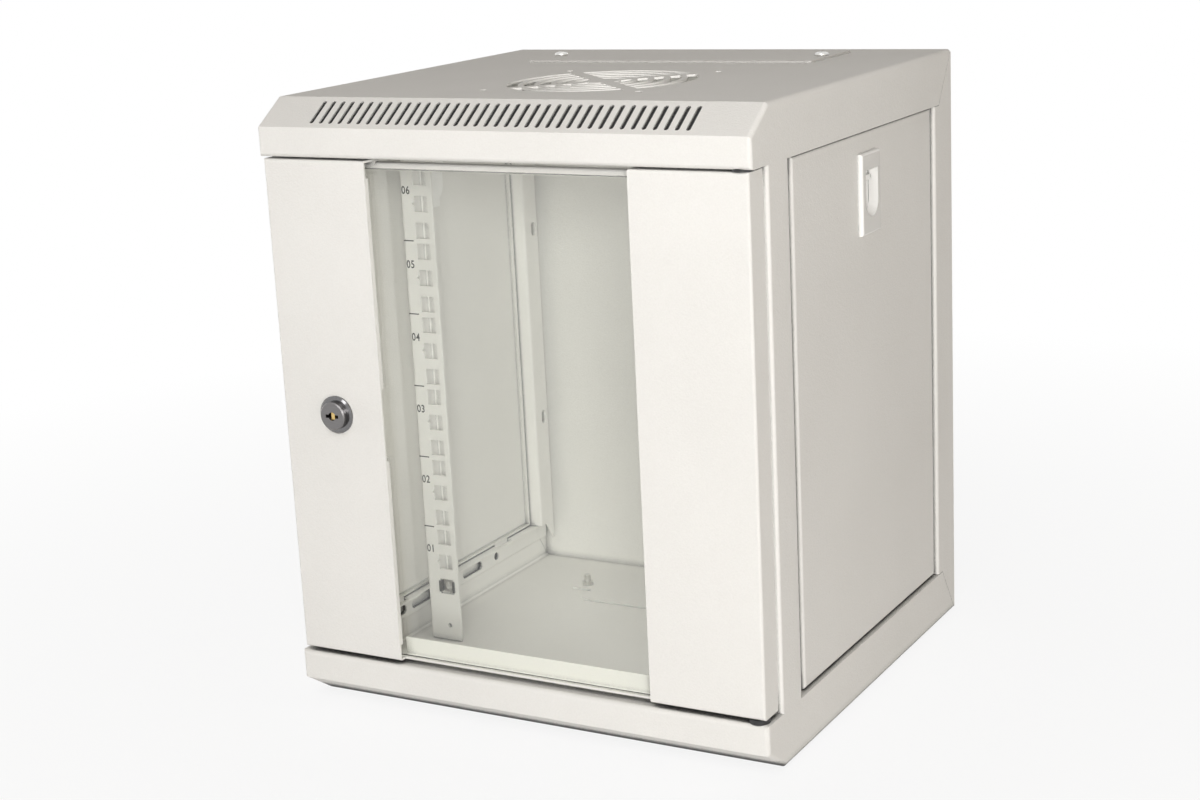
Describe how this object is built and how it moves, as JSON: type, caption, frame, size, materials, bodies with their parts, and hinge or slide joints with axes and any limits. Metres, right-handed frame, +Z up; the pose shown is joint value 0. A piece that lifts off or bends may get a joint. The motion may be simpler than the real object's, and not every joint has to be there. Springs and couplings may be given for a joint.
{
  "type": "wall mount network cabinet",
  "caption": "Compact steel wall cabinet for 10-inch rack equipment, with a locking glass door, lift-off side panels, slotted mounting rails, roof grille and covered cable entries",
  "frame": {"origin": "centre of the cabinet's footprint, on the surface that its base stands on", "axes": "+Z up, the door faces -Y, +X is to the right of someone facing the door"},
  "size_m": [0.298, 0.284, 0.3516],
  "materials": {
    "powder_coat": "fine textured light grey powder coat",
    "zinc_steel": "zinc plated",
    "spring_steel": "dark oiled spring steel",
    "clear_glass": "clear tempered",
    "chrome": "polished",
    "brass": "plain",
    "gasket_rubber": "matt",
    "black_plastic": "matt",
    "grey_plastic": "satin moulded"
  },
  "bodies": {
    "frame": {"base_cover": "powder_coat", "top_cover": "powder_coat", "back_panel": "powder_coat", "front_post_left": "powder_coat", "front_post_right": "powder_coat", "rear_post_left": "powder_coat", "rear_post_right": "powder_coat", "lower_side_rail_left": "powder_coat", "lower_side_rail_right": "powder_coat", "upper_side_rail_left": "powder_coat", "upper_side_rail_right": "powder_coat", "top_cable_plate": "powder_coat", "top_plate_screws": "zinc_steel", "top_plate_nuts": "zinc_steel", "base_cable_plate": "powder_coat", "base_plate_studs": "zinc_steel", "base_plate_nuts": "zinc_steel", "hinge_pin_lower": "zinc_steel", "hinge_bush_lower": "black_plastic", "hinge_bush_upper": "black_plastic"},
    "door": {"door_frame": "powder_coat", "door_glass": "clear_glass", "glass_gasket_left": "gasket_rubber", "glass_gasket_right": "gasket_rubber", "glass_retainer_left": "powder_coat", "glass_retainer_right": "powder_coat", "retainer_nuts": "zinc_steel", "hinge_plate_lower": "powder_coat", "hinge_plate_upper": "powder_coat", "hinge_pin_upper": "zinc_steel", "lock_housing": "chrome", "lock_nut": "zinc_steel"},
    "lock_barrel": {"lock_plug": "chrome", "lock_wafer": "brass", "lock_cam": "zinc_steel", "lock_cam_screw": "zinc_steel"},
    "rail_left": {"mounting_rail_left": "powder_coat", "rail_brackets_left": "powder_coat", "rail_bolts_left": "zinc_steel", "rail_nuts_left": "zinc_steel", "cage_nut_cage": "spring_steel", "cage_nut_square": "zinc_steel"},
    "rail_right": {"mounting_rail_right": "powder_coat", "rail_brackets_right": "powder_coat", "rail_bolts_right": "zinc_steel", "rail_nuts_right": "zinc_steel"},
    "panel_left": {"side_panel_left": "powder_coat", "latch_bezel_left": "grey_plastic"},
    "panel_right": {"side_panel_right": "powder_coat", "latch_bezel_right": "grey_plastic"},
    "latch_left": {"latch_slider_left": "grey_plastic"},
    "latch_right": {"latch_slider_right": "grey_plastic"}
  },
  "joints": [
    {"name": "door_hinge", "type": "hinge", "parent": "frame", "child": "door", "pos_m": [0.1405, -0.13195, 0.1747], "axis": [0, 0, 1], "range_deg": [0, 180]},
    {"name": "lock_turn", "type": "hinge", "parent": "door", "child": "lock_barrel", "pos_m": [-0.11, -0.13795, 0.1747], "axis": [0, -1, 0], "range_deg": [0, 90]},
    {"name": "rail_left_slide", "type": "slide", "parent": "frame", "child": "rail_left", "axis": [0, 1, 0], "range_m": [-0.008, 0.008]},
    {"name": "rail_right_slide", "type": "slide", "parent": "frame", "child": "rail_right", "axis": [0, 1, 0], "range_m": [-0.008, 0.008]},
    {"name": "panel_left_tilt", "type": "hinge", "parent": "frame", "child": "panel_left", "pos_m": [-0.146, 0.0132, 0.0314], "axis": [0, -1, 0], "range_deg": [0, 20]},
    {"name": "panel_right_tilt", "type": "hinge", "parent": "frame", "child": "panel_right", "pos_m": [0.146, 0.0132, 0.0314], "axis": [0, 1, 0], "range_deg": [0, 20]},
    {"name": "latch_left_slide", "type": "slide", "parent": "panel_left", "child": "latch_left", "axis": [0, 0, 1], "range_m": [0, 0.003]},
    {"name": "latch_right_slide", "type": "slide", "parent": "panel_right", "child": "latch_right", "axis": [0, 0, 1], "range_m": [0, 0.003]}
  ]
}
